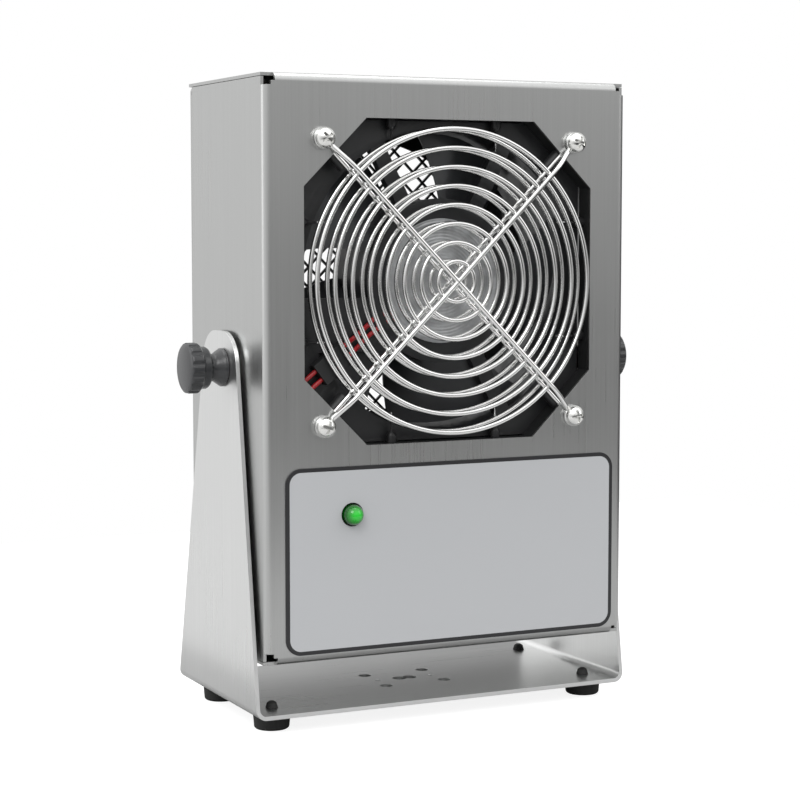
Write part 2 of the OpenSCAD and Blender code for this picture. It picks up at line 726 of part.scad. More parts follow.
// ---------------------------------------------------------------- rear mesh
module rear_mesh() color("#202224") in_case() slab_y(inner_back - mesh_t, inner_back)
  difference() {
    circle(mesh_rim_r);
    intersection() {
      circle(mesh_open_r);
      rotate(45) {
        n = ceil(mesh_open_r / mesh_pitch) + 1;
        for (i = [-n : n], j = [-n : n])
          if (norm([i, j]) * mesh_pitch < mesh_open_r + mesh_pitch)
            translate([i * mesh_pitch, j * mesh_pitch])
              square(mesh_pitch - mesh_bar, center = true);
      }
    }
    for (a = mesh_angles) rotate(a) translate([mesh_screw_r, 0]) circle(small_r + fit);
  }
module mesh_screws() color("silver") in_case() at_mesh_screws() back_screw(6);
module mesh_nuts() color("silver") in_case() at_mesh_screws()
  hex_nut(3.1, small_r + fit, inner_back - mesh_t - 2.4, inner_back - mesh_t);

// ---------------------------------------------------------------- electronics
module on_board() in_case() translate([0, board_y + board_d / 2, board_z]) children();
module board_corners() for (sx = [-1, 1], sy = [-1, 1])
  translate([sx * board_hole_x, sy * board_hole_y, 0]) children();
module control_board() color("#1f5a38") on_board() difference() {
  translate([-board_w / 2, -board_d / 2, 0]) cube([board_w, board_d, board_t]);
  board_corners() translate([0, 0, -1]) cylinder(r = small_r + slack, h = board_t + 2);
}
module board_pillars() color("silver") on_board() board_corners() translate([0, 0, -pillar_h])
  linear_extrude(pillar_h) difference() {
    circle(3, $fn = 6);
    circle(small_r + fit);
  }
module board_screws() color("silver") on_board() board_corners() translate([0, 0, board_t]) {
  translate([0, 0, -6]) cylinder(r = small_r, h = 6);
  cylinder(r = small_head_r, h = small_head_h);
}
// a block that stands on the board: the corner nearest to the front left, and its size
module block(at, size) translate(at) cube(size);
module board_parts() color("#3d4a8a") on_board() translate([0, 0, board_t]) {
  for (at = capacitors_at) translate(at) cylinder(r = capacitor_r, h = capacitor_h);
  for (at = resistors_at) block(at, resistor_size);
  block(relay_at, relay_size);
  block(chip_at, chip_size);
  block(connector_at, connector_size);
  block(heat_sink_at, heat_sink_size);
}
module hv_transformers() color("#2b2b2b") on_board() translate([0, 0, board_t])
  for (x = transformer_x) translate([x, transformer_y, 0]) difference() {
    cube([transformer_w, transformer_w, transformer_h]);
    translate([case_wall, case_wall, transformer_h - case_wall])
      cube([transformer_w - 2 * case_wall, transformer_w - 2 * case_wall, transformer_h]);
  }

// ---------------------------------------------------------------- rear controls
module at_control(x) in_case() translate([x, 0, control_z]) children();

// the socket's outline: a rectangle with its two upper corners cut off
module socket_shape() {
  a = socket_w / 2;
  b = socket_h / 2;
  polygon([[-a, -b], [a, -b], [a, b - socket_cut], [a - socket_cut, b], [-a + socket_cut, b],
    [-a, b - socket_cut]]);
}
module power_inlet() color("#161616") at_control(inlet_x) {
  difference() {
    union() {
      slab_y(case_d, case_d + inlet_flange_t) {
        square([inlet_w + 4, inlet_h + 3], center = true);
        square([inlet_pitch, inlet_ear], center = true);
        for (s = [-1, 1]) translate([s * inlet_pitch / 2, 0]) circle(inlet_ear / 2);
      }
      slab_y(case_d - inlet_deep, case_d) square([inlet_w, inlet_h], center = true);
    }
    slab_y(case_d - inlet_deep + 2, case_d + inlet_flange_t + 1) socket_shape();
    for (s = [-1, 1]) translate([s * inlet_pitch / 2, 0, 0])
      rod_y(small_r + fit, case_d - 1, case_d + inlet_flange_t + 1);
  }
  for (p = [[-inlet_pin_x, 1], [0, -3], [inlet_pin_x, 1]])
    translate([p.x - 1, case_d - inlet_deep + 1, p.y - 2]) cube([2, inlet_deep - 3, 4]);
}
module inlet_screws() color("silver") at_control(inlet_x) for (s = [-1, 1])
  translate([s * inlet_pitch / 2, inlet_flange_t, 0]) back_screw(inlet_flange_t + 5);

module power_switch() color("#151515") at_control(switch_x) difference() {
  union() {
    slab_y(case_d, case_d + switch_rim) round_rect(2 * switch_half, switch_h + 3, 1);
    slab_y(case_d - switch_deep, case_d) square([switch_w, switch_h], center = true);
  }
  slab_y(case_d - 6, case_d + switch_rim + 1) square([rocker_w + 0.6, rocker_h + 1.6], center = true);
  translate([0, pivot_in, 0]) rod_x(pin_r + fit, -rocker_w / 2 - 1.3, rocker_w / 2 + 1.3);
}
module switch_rocker() color("#0e0e0e") at_control(switch_x) translate([0, pivot_in, 0]) {
  translate([-rocker_w / 2, 0, 0]) rotate([90, 0, 90]) linear_extrude(rocker_w)
    polygon([[-2.4, -2.2], [-2.4, 2.2], [0.6, rocker_h / 2 - 0.3], [2.6, rocker_h / 2 - 0.5],
      [4.2, rocker_h / 2 - 1.2], [3, 0], [4.2, -rocker_h / 2 + 1.2], [2.6, -rocker_h / 2 + 0.5],
      [0.6, -rocker_h / 2 + 0.3]]);
  rod_x(pin_r, -rocker_w / 2 - 1, rocker_w / 2 + 1);
}

module speed_control() color("#777977") at_control(speed_x) difference() {
  union() {
    rod_y(speed_body_r, inner_back - 10, inner_back);
    rod_y(bushing_r, inner_back - 1, case_d + bushing_out);
  }
  rod_y(speed_shaft_r + fit, inner_back - 8, case_d + bushing_out + 1);
}
module speed_nut() color("silver") at_control(speed_x)
  hex_nut(panel_nut_r, bushing_r + fit, case_d, case_d + 2.2);
module speed_knob() color("#1a1a1a") at_control(speed_x) {
  y0 = case_d + bushing_out + speed_gap;
  difference() {
    translate([0, y0, 0]) rotate([-90, 0, 0]) rotate_extrude() polygon([[0, 0],
      [speed_dia / 2, 0], [speed_dia / 2, 2], [speed_dia / 2 - 1.2, 2.6],
      [speed_dia / 2 - 1.9, speed_len - 0.8], [speed_dia / 2 - 2.7, speed_len], [0, speed_len]]);
    for (a = [0 : 20 : 340]) rotate([0, a, 0]) translate([speed_dia / 2 - 1.2, 0, 0])
      rod_y(0.55, y0 + 2.6, y0 + speed_len + 1);
    translate([-0.5, y0 + speed_len - 0.6, 0]) cube([1, 1, speed_dia]);
  }
  rod_y(speed_shaft_r, inner_back - 7, y0 + 1);
}

module ground_jack() color("#1d6b33") at_control(ground_x) difference() {
  union() {
    rod_y(jack_flange_r, case_d, case_d + 3);
    rod_y(jack_r, inner_back - 14, case_d + 1);
  }
  rod_y(jack_bore_r, inner_back - 12, case_d + 4);
}
module ground_nut() color("silver") at_control(ground_x)
  hex_nut(panel_nut_r, jack_r + fit, inner_back - 3, inner_back);

// ---------------------------------------------------------------- tilt pivot
// threaded inserts inside the side walls
module at_pivot() in_case() translate([0, pivot_back, -pivot_drop]) children();
module both_sides() for (side = [0, 1]) mirror([side, 0, 0]) children();
module pivot_nuts() color("silver") at_pivot() both_sides() difference() {
  rod_x(insert_r, case_w / 2 - sheet - insert_len, case_w / 2 - sheet);
  rod_x(stud_r + fit, 0, case_w);
}
module arm_washers() color("#e8e8e4") at_pivot() both_sides() difference() {
  rod_x(washer_r, case_w / 2, stand_in - seat);
  rod_x(stud_r + fit, 0, case_w);
}
// profile of a knob: radius against distance from the arm
module knob_profile() {
  grip = knob_dia / 2;
  g0 = knob_reach - dome_h - grip_h;
  polygon(concat([[0, seat], [flange_r, seat], [flange_r, 1], [neck_r + 0.2, 4], [neck_r, 5.4],
    [step_r - 0.5, g0 - 3.6], [step_r, g0 - 2.8], [step_r, g0 - 0.8], [grip - 0.5, g0],
    [grip, g0 + 0.6], [grip, g0 + grip_h - 0.7]],
    [for (a = [6 : 14 : 90]) [(grip - 0.2) * cos(a), g0 + grip_h - 0.3 + (dome_h + 0.3) * sin(a)]],
    [[0, knob_reach]]));
}
module knob() {
  difference() {
    translate([stand_out, 0, 0]) rotate([0, 90, 0]) rotate_extrude() knob_profile();
    for (a = [0 : 360 / flutes : 359]) rotate([a, 0, 0])
      translate([0, 0, knob_dia / 2 + 1.1])
        rod_x(1.7, stand_out + knob_reach - dome_h - grip_h - 0.1, stand_out + knob_reach + 1);
    rod_x(stud_r + 0.02, 0, stand_out + stud_in);
  }
}
module stud() rod_x(stud_r, case_w / 2 - sheet - insert_len - 1, stand_out + stud_in - 0.5);
module right_knob() color("#2c2d2e") at_pivot() knob();
module left_knob() color("#2c2d2e") at_pivot() mirror([1, 0, 0]) knob();
module right_stud() color("silver") at_pivot() stud();
module left_stud() color("silver") at_pivot() mirror([1, 0, 0]) stud();

stand_bracket();
feet();
front_case();
rear_cover();
cover_screws();
front_label();
status_led();
led_holder();
finger_guard();
guard_hooks();
guard_screws();
guard_nuts();
air_duct();
sensor_grid();
grid_posts();
emitter_points();
fan_frame();
motor_label();
motor_stator();
fan_bearings();
fan_rotor();
fan_impeller();
fan_terminal();
fan_leads();
rear_mesh();
mesh_screws();
mesh_nuts();
control_board();
board_parts();
hv_transformers();
board_pillars();
board_screws();
power_inlet();
inlet_screws();
power_switch();
switch_rocker();
speed_control();
speed_nut();
speed_knob();
ground_jack();
ground_nut();
pivot_nuts();
arm_washers();
left_knob();
left_stud();
right_knob();
right_stud();
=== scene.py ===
"""Looks of an ionizing bench blower, built around its CAD frame.

Metres, +Z up. The blower faces -Y and stands on Z = 0. Each operator finishes one piece or one
group of like pieces, and main() calls them in order.
"""

import json
import math

import bpy
from bpy.props import FloatProperty, FloatVectorProperty, IntProperty, PointerProperty
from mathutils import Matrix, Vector


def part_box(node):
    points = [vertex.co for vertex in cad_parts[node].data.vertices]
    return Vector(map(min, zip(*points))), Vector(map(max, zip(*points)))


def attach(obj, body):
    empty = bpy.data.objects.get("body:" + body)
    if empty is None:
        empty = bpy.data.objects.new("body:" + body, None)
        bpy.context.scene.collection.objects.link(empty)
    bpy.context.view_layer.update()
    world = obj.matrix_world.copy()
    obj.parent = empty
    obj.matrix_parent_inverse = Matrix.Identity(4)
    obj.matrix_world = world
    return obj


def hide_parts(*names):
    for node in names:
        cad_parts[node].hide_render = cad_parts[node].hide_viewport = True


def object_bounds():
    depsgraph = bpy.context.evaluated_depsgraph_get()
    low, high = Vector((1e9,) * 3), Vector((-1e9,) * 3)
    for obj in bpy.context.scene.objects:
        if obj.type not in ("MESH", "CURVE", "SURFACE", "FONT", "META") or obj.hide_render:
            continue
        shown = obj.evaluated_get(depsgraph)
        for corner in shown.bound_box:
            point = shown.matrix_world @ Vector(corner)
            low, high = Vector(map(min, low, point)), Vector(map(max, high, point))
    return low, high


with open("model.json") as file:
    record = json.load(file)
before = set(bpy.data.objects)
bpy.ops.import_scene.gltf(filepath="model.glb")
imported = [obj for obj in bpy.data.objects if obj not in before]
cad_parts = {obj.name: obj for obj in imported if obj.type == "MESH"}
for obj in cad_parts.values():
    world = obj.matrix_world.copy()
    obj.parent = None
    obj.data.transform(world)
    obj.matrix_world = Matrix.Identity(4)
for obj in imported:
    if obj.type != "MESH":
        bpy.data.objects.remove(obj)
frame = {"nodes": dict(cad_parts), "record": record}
cad_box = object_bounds()

bl_info = {
    "name": "Ionizing Blower",
    "version": (1, 0, 0),
    "blender": (4, 5, 0),
    "location": "View3D > Sidebar > Blower",
    "description": "Finishes and detailed pieces of a bench-top ionizing blower",
    "category": "Add Mesh",
}

MM = 0.001

# ------------------------------------------------------------------ places from the frame


def middle(node):
    """Centre of a CAD node's box."""
    low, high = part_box(node)
    return (low + high) / 2


def size_of(node):
    """Size of a CAD node's box."""
    low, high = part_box(node)
    return high - low


FAN = Vector((0, 0, middle("fan_frame").z))
FRONT_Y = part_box("front_case")[0].y
BACK_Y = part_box("rear_cover")[1].y

RECORD = frame["record"]
SLOT_OF = {row["node"]: row["material_slot"] for row in RECORD["subparts"]}
BODY_OF = {
    node: body for body, nodes in RECORD["behaviour"]["bodies"].items() for node in nodes
}
RANGE_OF = {row["name"]: row.get("range_deg") for row in RECORD["behaviour"]["joints"]}

# ------------------------------------------------------------------ shader maths


def rgba(colour):
    """A colour with its alpha. A socket's value passes through."""
    if isinstance(colour, Value) or len(colour) == 4:
        return colour
    return tuple(colour) + (1.0,)


def dimmed(colour, factor):
    """A colour times a number."""
    return tuple(channel * factor for channel in colour)


class Value:
    """A shader socket that can be added, multiplied and compared like a number."""

    def __init__(self, nodes, socket):
        self.nodes = nodes
        self.socket = socket

    def _with(self, operation, *others):
        return self.nodes.add("ShaderNodeMath", {"operation": operation}, (self, *others))

    def _after(self, operation, other):
        return self.nodes.add("ShaderNodeMath", {"operation": operation}, (other, self))

    def __add__(self, other):
        return self._with("ADD", other)

    def __radd__(self, other):
        return self._after("ADD", other)

    def __sub__(self, other):
        return self._with("SUBTRACT", other)

    def __rsub__(self, other):
        return self._after("SUBTRACT", other)

    def __mul__(self, other):
        return self._with("MULTIPLY", other)

    def __rmul__(self, other):
        return self._after("MULTIPLY", other)

    def __gt__(self, other):
        return self._with("GREATER_THAN", other)

    def __lt__(self, other):
        return self._with("LESS_THAN", other)

    def __pow__(self, other):
        return self._with("POWER", other)

    def __abs__(self):
        return self._with("ABSOLUTE")

    def at_least(self, other):
        return self._with("MAXIMUM", other)

    def at_most(self, other):
        return self._with("MINIMUM", other)

    def sine(self):
        return self._with("SINE")


def length_of(first, second):
    """Length of a vector with two parts."""
    return (first * first + second * second) ** 0.5


class Nodes:
    """Adds nodes to a material's or the world's tree and feeds their sockets."""

    def __init__(self, tree):
        self.tree = tree

    def add(self, kind, settings=None, inputs=(), output=0):
        """Adds a node, sets it, feeds its inputs and gives one of its outputs back."""
        node = self.tree.nodes.new(kind)
        for key, value in (settings or {}).items():
            setattr(node, key, value)
        pairs = inputs.items() if isinstance(inputs, dict) else enumerate(inputs)
        for key, value in pairs:
            self.feed(node.inputs[key], value)
        return Value(self, node.outputs[output])

    def feed(self, socket, value):
        """Links a value to a socket, or sets the socket to a number or a colour."""
        if isinstance(value, Value):
            self.tree.links.new(value.socket, socket)
        else:
            socket.default_value = value

    def remap(self, value, low, high, to_low, to_high):
        """Takes low..high to to_low..to_high and stays within them."""
        return self.add("ShaderNodeMapRange", {}, (value, low, high, to_low, to_high))

    def light_path(self, kind):
        """One of the facts about the ray that sees this surface."""
        return self.add("ShaderNodeLightPath", output=kind)


class Shade(Nodes):
    """A material that is being wired: it adds patterns and sets the surface."""

    def __init__(self, name):
        self.material = bpy.data.materials.new(name)
        self.material.use_nodes = True
        super().__init__(self.material.node_tree)
        self.surface = self.tree.nodes["Principled BSDF"]

    def place(self, scale=(1, 1, 1), shift=(0, 0, 0)):
        """Object coordinates, in metres, scaled and shifted."""
        here = self.add("ShaderNodeTexCoord", output="Object")
        return self.add(
            "ShaderNodeMapping", {}, {"Vector": here, "Location": shift, "Scale": scale}
        )

    def axes(self, origin):
        """X, Y and Z of Object coordinates, measured from a point."""
        here = self.place(shift=[-value for value in origin])
        split = self.add("ShaderNodeSeparateXYZ", {}, (here,)).socket.node
        return [Value(self, socket) for socket in split.outputs]

    def noise(self, scale, vector=None, detail=3.0):
        """Soft random patches, as many to the metre as scale says."""
        inputs = {"Vector": vector or self.place(), "Scale": scale, "Detail": detail}
        return self.add("ShaderNodeTexNoise", {}, inputs)

    def streaks(self, fine):
        """Fine lines of a brushed surface. fine holds the lines per metre across each axis."""
        return self.noise(1.0, self.place(scale=fine), detail=2.0)

    def mix(self, factor, first, second):
        """Mixes two colours."""
        inputs = {0: factor, 6: rgba(first), 7: rgba(second)}
        return self.add("ShaderNodeMix", {"data_type": "RGBA"}, inputs, output=2)

    def vary(self, mask, colour, dark, light):
        """A colour times dark where the mask is 0 and times light where it is 1."""
        return self.mix(mask, dimmed(colour, dark), dimmed(colour, light))

    def bump(self, height, strength, distance):
        """A normal from a height. distance is how many metres a height of 1 stands for."""
        inputs = {"Strength": strength, "Distance": distance, "Height": height}
        return self.add("ShaderNodeBump", {}, inputs)

    def set(self, **values):
        """Feeds the surface's sockets, named as in base_color, and gives the material back."""
        for key, value in values.items():
            socket = self.surface.inputs[key.replace("_", " ").title()]
            self.feed(socket, rgba(value) if socket.type == "RGBA" else value)
        return self.material


# ------------------------------------------------------------------ finishes


def satin_steel(name, colour, fine, gloss):
    """Brushed stainless sheet: fine lines, and broad patches where hands have polished it."""
    shade = Shade(name)
    lines = shade.streaks(fine)
    patches = shade.noise(13.0)
    tint = shade.vary(lines, colour, 0.93, 1.07)
    return shade.set(
        base_color=shade.mix(patches * 0.12, tint, dimmed(colour, 0.8)),
        metallic=1.0,
        roughness=gloss + (lines - 0.5) * 0.10 + (patches - 0.5) * 0.10,
        normal=shade.bump(lines, 0.05, 0.2 * MM),
    )


def bright_plate(name, colour, gloss):
    """Bright nickel or zinc plating, with faint clouding."""
    shade = Shade(name)
    clouds = shade.noise(220.0)
    wide = shade.noise(35.0)
    return shade.set(
        base_color=shade.vary(clouds, colour, 0.88, 1.0),
        metallic=1.0,
        roughness=gloss + wide * 0.10,
        normal=shade.bump(clouds, 0.08, 0.1 * MM),
    )


def moulded(name, colour, gloss, wear_and_sheen=1.25, grain=2600.0, depth=0.04 * MM):
    """Moulded plastic with a fine spark-eroded grain and lighter patches at random: slight
    rubbing, and on the knobs, where they are strongest, also a painted highlight.
    """
    shade = Shade(name)
    pits = shade.noise(grain, detail=1.0)
    # patches that lighten the colour: rubbing, and a painted highlight where they are strong
    worn_and_sheen = shade.noise(60.0)
    return shade.set(
        base_color=shade.vary(worn_and_sheen, colour, 0.85, wear_and_sheen),
        roughness=gloss + (worn_and_sheen - 0.5) * 0.16,
        normal=shade.bump(pits, 0.5, depth),
    )


def powder_coat(name, colour, gloss):
    """Powder coat with orange peel."""
    shade = Shade(name)
    peel = shade.noise(700.0, detail=1.0)
    dust = shade.noise(45.0)
    return shade.set(
        base_color=shade.vary(dust, colour, 1.0, 1.5),
        roughness=gloss + (dust - 0.5) * 0.2,
        coat_weight=0.15,
        normal=shade.bump(peel, 0.4, 0.08 * MM),
    )


def rubber(name, colour):
    """Dull rubber with some dust on it."""
    shade = Shade(name)
    fine = shade.noise(1500.0, detail=4.0)
    dust = shade.noise(120.0)
    return shade.set(
        base_color=shade.vary(dust, colour, 1.0, 2.2),
        roughness=0.62 + dust * 0.25,
        normal=shade.bump(fine, 0.5, 0.08 * MM),
    )


def edge_distance(shade, node, radius):
    """Distance outwards from the edge of a node's rounded rectangle in the XZ plane, in metres."""
    at = middle(node)
    half = size_of(node) / 2
    x, _, z = shade.axes((at.x, 0, at.z))
    across = abs(x) - (half.x - radius)
    up = abs(z) - (half.z - radius)
    corner = length_of(across.at_least(0.0), up.at_least(0.0))
    return corner + across.at_least(up).at_most(0.0) - radius


def printed_film(name, colour, ink):
    """Grey polycarbonate film with one dark printed line near its edge."""
    shade = Shade(name)
    looks = bpy.context.scene.blower_looks
    line = edge_distance(shade, "front_label", looks.label_radius) > -looks.label_line
    fine = shade.noise(3000.0, detail=1.0)
    wide = shade.noise(9.0)
    return shade.set(
        base_color=shade.mix(line, shade.vary(wide, colour, 0.97, 1.03), ink),
        roughness=0.36 + (wide - 0.5) * 0.1,
        normal=shade.bump(fine, 0.25, 0.03 * MM),
    )


def green_lens(name, colour):
    """Clear green resin that glows at its middle and is dark round its rim."""
    shade = Shade(name)
    x, _, z = shade.axes(middle("status_led"))
    glow = shade.remap(length_of(x, z), 1.2 * MM, 3.8 * MM, 1.0, 0.0)
    ripple = shade.noise(900.0)
    return shade.set(
        base_color=shade.vary(glow, colour, 0.12, 1.0),
        roughness=0.08 + ripple * 0.06,
        coat_weight=0.45,
        emission_color=shade.mix(glow, (0.0, 0.02, 0.0), dimmed(colour, 0.9)),
        emission_strength=0.12,
        normal=shade.bump(ripple, 0.15, 0.05 * MM),
    )


def foil(name, colour):
    """Satin foil with fine turned rings round the fan axis and slight creases."""
    shade = Shade(name)
    x, _, z = shade.axes(FAN)
    fineness = 5200.0
    rings = (length_of(x, z) * fineness).sine()
    crease = shade.noise(260.0, detail=5.0)
    return shade.set(
        base_color=shade.vary(crease, colour, 0.6, 1.25),
        metallic=1.0,
        roughness=0.24 + crease * 0.2,
        normal=shade.bump(rings * 0.15 + crease, 0.5, 0.4 * MM),
    )


def emitter_finish():
    """Black holders with bare steel needles: the needles reach farthest in from the duct."""
    shade = Shade("emitter_holder")
    x, _, z = shade.axes(FAN)
    holder_length = 8 * MM
    needles = abs(x).at_least(abs(z)) < size_of("emitter_points").x / 2 - holder_length
    grain = shade.noise(1800.0)
    return shade.set(
        base_color=shade.mix(needles, (0.012, 0.012, 0.013), (0.6, 0.6, 0.6)),
        metallic=needles,
        roughness=0.4 - needles * 0.2,
        normal=shade.bump(grain, 0.3, 0.03 * MM),
    )


def wound_copper(name, colour):
    """Enamelled turns of wire, as bands round the fan axis."""
    shade = Shade(name)
    bands = shade.add(
        "ShaderNodeTexWave",
        {"wave_type": "BANDS", "bands_direction": "Y"},
        {"Vector": shade.place(), "Scale": 900.0, "Distortion": 1.5},
        output=1,
    )
    return shade.set(
        base_color=shade.vary(bands, colour, 0.5, 1.0),
        metallic=1.0,
        roughness=0.3 + bands * 0.1,
        normal=shade.bump(bands, 0.5, 0.2 * MM),
    )


def wire_sleeve(name, colour):
    """Glossy sleeve of a lead."""
    shade = Shade(name)
    fine = shade.noise(500.0)
    return shade.set(
        base_color=shade.vary(fine, colour, 0.8, 1.0),
        roughness=0.28 + fine * 0.12,
        coat_weight=0.3,
        normal=shade.bump(fine, 0.15, 0.1 * MM),
    )


def circuit_board(name, colour):
    """Green solder resist with copper tracks under it."""
    shade = Shade(name)
    cells = shade.add(
        "ShaderNodeTexVoronoi",
        {"feature": "DISTANCE_TO_EDGE", "distance": "MANHATTAN"},
        {"Vector": shade.place(), "Scale": 150.0},
    )
    track_width = 0.12
    track = cells < track_width
    return shade.set(
        base_color=shade.vary(track, colour, 1.0, 2.4),
        roughness=0.25 + track * 0.1,
        normal=shade.bump(track, 0.3, 0.05 * MM),
    )


def all_finishes():
    """Every finish by the record's material slot."""
    looks = bpy.context.scene.blower_looks
    case = (looks.case_colour, (1500, 1500, 11), looks.case_gloss)
    # The stand's steel is made lighter than the case's same steel: painted light.
    stand = (looks.stand_colour, (11, 1500, 11), looks.stand_gloss)
    makers = {
        "case_steel": (satin_steel, *case),
        "cover_steel": (satin_steel, *case),
        "stand_steel": (satin_steel, *stand),
        "guard_chrome": (bright_plate, looks.chrome_colour, 0.09),
        "screw_steel": (bright_plate, (0.86, 0.86, 0.84), 0.12),
        "zinc_steel": (bright_plate, (0.62, 0.62, 0.6), 0.26),
        "bearing_steel": (bright_plate, (0.7, 0.7, 0.7), 0.2),
        "control_steel": (bright_plate, (0.5, 0.5, 0.49), 0.3),
        "label_film": (printed_film, looks.label_colour, (0.018, 0.018, 0.02)),
        "led_green": (green_lens, looks.light_colour),
        "fan_black": (powder_coat, (0.014, 0.0145, 0.0155), 0.42),
        "mesh_black": (powder_coat, (0.02, 0.021, 0.022), 0.5),
        "motor_foil": (foil, (0.62, 0.63, 0.64)),
        "winding_copper": (wound_copper, (0.6, 0.28, 0.12)),
        "lead_red": (wire_sleeve, (0.5, 0.012, 0.018)),
        "board_green": (circuit_board, (0.015, 0.12, 0.05)),
        "rubber_black": (rubber, (0.011, 0.011, 0.011)),
        "black_plastic": (moulded, (0.014, 0.0145, 0.015), 0.46),
        "blade_plastic": (moulded, (0.045, 0.047, 0.05), 0.34, 1.25, 2600.0, 0.02 * MM),
        # The knobs' patches are lighter than other plastics': painted highlight mixed with
        # rubbing.
        "knob_plastic": (moulded, looks.knob_colour, 0.24, 1.5),
        "jack_green": (moulded, (0.015, 0.17, 0.04), 0.35),
        "part_blue": (moulded, (0.04, 0.07, 0.25), 0.3),
        "potting_black": (moulded, (0.02, 0.02, 0.02), 0.25, 1.25, 900.0),
        "washer_nylon": (moulded, (0.7, 0.7, 0.66), 0.4),
    }
    return {name: maker(name, *values) for name, (maker, *values) in makers.items()}


FINISHES = {}


def finish(slot_name):
    """The finish of a slot. All of them are wired on the first call."""
    if not FINISHES:
        FINISHES.update(all_finishes())
    return FINISHES[slot_name]


# ------------------------------------------------------------------ modelling helpers


def nothing_selected():
    bpy.ops.object.select_all(action="DESELECT")


def only(piece):
    """Makes one object the selected and active one."""
    nothing_selected()
    piece.select_set(True)
    bpy.context.view_layer.objects.active = piece


def joined(pieces):
    """Joins several new objects into the first."""
    only(pieces[0])
    for piece in pieces[1:]:
        piece.select_set(True)
    if len(pieces) > 1:
        bpy.ops.object.join()
    return pieces[0]


def apply_modifier(piece, kind, **settings):
    """Adds a modifier, sets it and applies it."""
    only(piece)
    modifier = piece.modifiers.new(kind.lower(), kind)
    for key, value in settings.items():
        setattr(modifier, key, value)
    bpy.ops.object.modifier_apply(modifier=modifier.name)


def soften(piece, width, angle=38, segments=2):
    """Rounds the edges that are sharper than angle."""
    apply_modifier(
        piece,
        "BEVEL",
        width=width,
        segments=segments,
        limit_method="ANGLE",
        angle_limit=math.radians(angle),
        use_clamp_overlap=True,
    )


def smooth(piece, angle=38):
    """Smooth shading that leaves flat faces flat."""
    only(piece)
    bpy.ops.object.shade_smooth_by_angle(angle=math.radians(angle))
    apply_modifier(piece, "WEIGHTED_NORMAL", keep_sharp=True, weight=90)


def settle(piece, name, body, slot_name, stands_for=()):
    """Gives a finished piece its name, place, finish and body."""
    only(piece)
    bpy.ops.object.transform_apply(location=True, rotation=True, scale=True)
    piece.name = name
    piece.data.name = name
    piece.data.materials.clear()
    piece.data.materials.append(finish(slot_name))
    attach(piece, body)
    if stands_for:
        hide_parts(*stands_for)


def welded_copy(node):
    """A copy of a CAD node's mesh as one welded skin."""
    piece = bpy.data.objects.new(node + "_skin", frame["nodes"][node].data.copy())
    bpy.context.scene.collection.objects.link(piece)
    only(piece)
    bpy.ops.object.mode_set(mode="EDIT")
    bpy.ops.mesh.select_all(action="SELECT")
    bpy.ops.mesh.remove_doubles(threshold=0.004 * MM)
    bpy.ops.mesh.dissolve_limited(angle_limit=math.radians(0.2))
    bpy.ops.object.mode_set(mode="OBJECT")
    return piece


# ------------------------------------------------------------------ sizes and colours


def colour_setting(name, description, default):
    """A colour that a user can change."""
    return FloatVectorProperty(
        name=name, description=description, default=default, subtype="COLOR", size=3, min=0, max=1
    )


def share_setting(name, description, default):
    """A share from 0 to 1 that a user can change."""
    return FloatProperty(
        name=name, description=description, default=default, subtype="FACTOR", min=0, max=1
    )


def length_setting(name, description, default):
    """A length that a user can change."""
    return FloatProperty(name=name, description=description, default=default, unit="LENGTH", min=0)


class BLOWER_PG_looks(bpy.types.PropertyGroup):
    """Colours, roughness and printed lines"""

    case_colour: colour_setting("Case", "Colour of the stainless case", (0.5, 0.505, 0.5))
    # The stand is the case's stainless steel with a much lighter colour: a lit copy, painted
    # light.
    stand_colour: colour_setting("Stand", "Colour of the stainless stand", (0.74, 0.745, 0.74))
    case_gloss: share_setting("Case roughness", "Roughness of the brushed case", 0.3)
    stand_gloss: share_setting("Stand roughness", "Roughness of the brushed stand", 0.3)
    chrome_colour: colour_setting("Guard", "Colour of the plated guard wire", (0.85, 0.85, 0.84))
    label_colour: colour_setting("Label", "Colour of the front label", (0.5, 0.51, 0.525))
    light_colour: colour_setting("Status light", "Colour of the status light", (0.015, 0.52, 0.03))
    knob_colour: colour_setting("Knobs", "Colour of the tilt knobs", (0.029, 0.03, 0.032))
    label_radius: length_setting("Label corner", "Corner radius of the label", 6 * MM)
    label_line: length_setting("Label line", "Width of the line printed round the label", 1.5 * MM)
    mark_radius: length_setting("Speed marks", "Radius on which the speed marks start", 9 * MM)


class BLOWER_PG_guard(bpy.types.PropertyGroup):
    """Wires of the guard, and of the grid behind it"""

    rings: IntProperty(name="Rings", description="Wire rings in a set", default=8, min=1)
    ring_radius: length_setting("Outer ring", "Radius of the outermost ring", 56.5 * MM)
    ring_pitch: length_setting("Ring pitch", "Distance from ring to ring", 7 * MM)
    ring_wire: length_setting("Ring wire", "Diameter of the ring wire", 1.8 * MM)
    spoke_wire: length_setting("Spoke wire", "Diameter of the spoke wire", 2 * MM)
    screw_hole: length_setting("Eye", "Radius of the hole in a wire eye", 2.1 * MM)


# ------------------------------------------------------------------ stage

FLOOR_SIZE = 0.9
FLOOR_GLOW = 0.86
# the share of that glow that metal sees, and the distance in metres from which it does
MIRRORED_GLOW = 0.3
MIRRORED_FROM = 0.1

# directions from the blower in which the studio is brightest and dimmest
REAR_LEFT = (-0.87, 0.5, 0)
REAR_RIGHT = (0.75, 0.66, 0)

# name, place and (width, height) in metres, power in watts
LAMPS = (
    ("key_lamp", (-1.0, -1.1, 1.3), (0.9, 0.9), 9.5),
    ("side_lamp", (-1.6, 0.7, 0.7), (1.0, 1.2), 4),
    ("fill_lamp", (1.3, -0.9, 0.8), (0.7, 0.9), 2),
    ("top_lamp", (0.1, 0.2, 1.5), (1.0, 1.0), 7),
)

CAMERA_PLACE = (-0.3555, FRONT_Y - 0.69084, FAN.z + 0.02145)
CAMERA_DOWN = math.radians(4.857)
CAMERA_TURN = math.radians(-25.80)
LENS_MM = 93.3
SENSOR_MM = 36
NEAREST = 0.05


